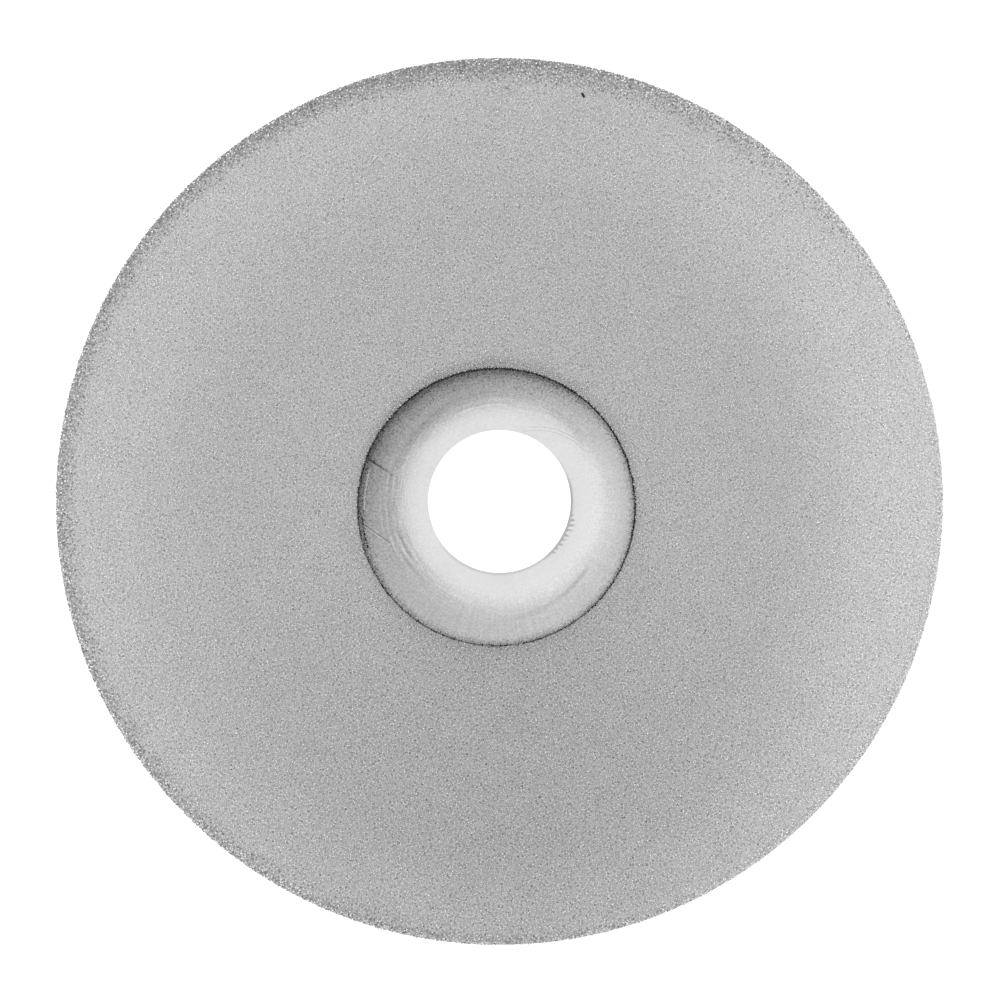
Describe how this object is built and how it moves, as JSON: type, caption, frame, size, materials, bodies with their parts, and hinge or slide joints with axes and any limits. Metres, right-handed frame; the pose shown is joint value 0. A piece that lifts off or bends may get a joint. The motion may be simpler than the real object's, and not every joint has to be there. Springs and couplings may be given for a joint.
{
  "type": "diamond grinding wheel",
  "caption": "Flat electroplated diamond grinding wheel: a steel disc with a depressed centre and a plain bore, nickel plated with diamond crystals on its face and rim.",
  "frame": {"origin": "on the bore's axis, at the back face of the hub, which the wheel rests on", "axes": "+Z along the bore's axis, out of the grinding face; X and Y lie in the plane of the wheel, with X towards the right as the face is looked at"},
  "size_m": [0.1, 0.1, 0.0044],
  "materials": {
    "bare_steel": "smooth pressed steel with fine turning marks",
    "nickel_strike": "thin dull nickel",
    "nickel_bond": "matt grey electroplated nickel",
    "diamond_grit": "sparkling grey crystals",
    "dark_grit": "dark crystals in burnt nickel"
  },
  "bodies": {
    "root": {"steel_core": "bare_steel", "nickel_strike": "nickel_strike", "nickel_bond": "nickel_bond", "face_grit": "diamond_grit", "rim_grit": "diamond_grit", "mask_edge_grit": "dark_grit", "stray_grit": "dark_grit"}
  },
  "joints": []
}
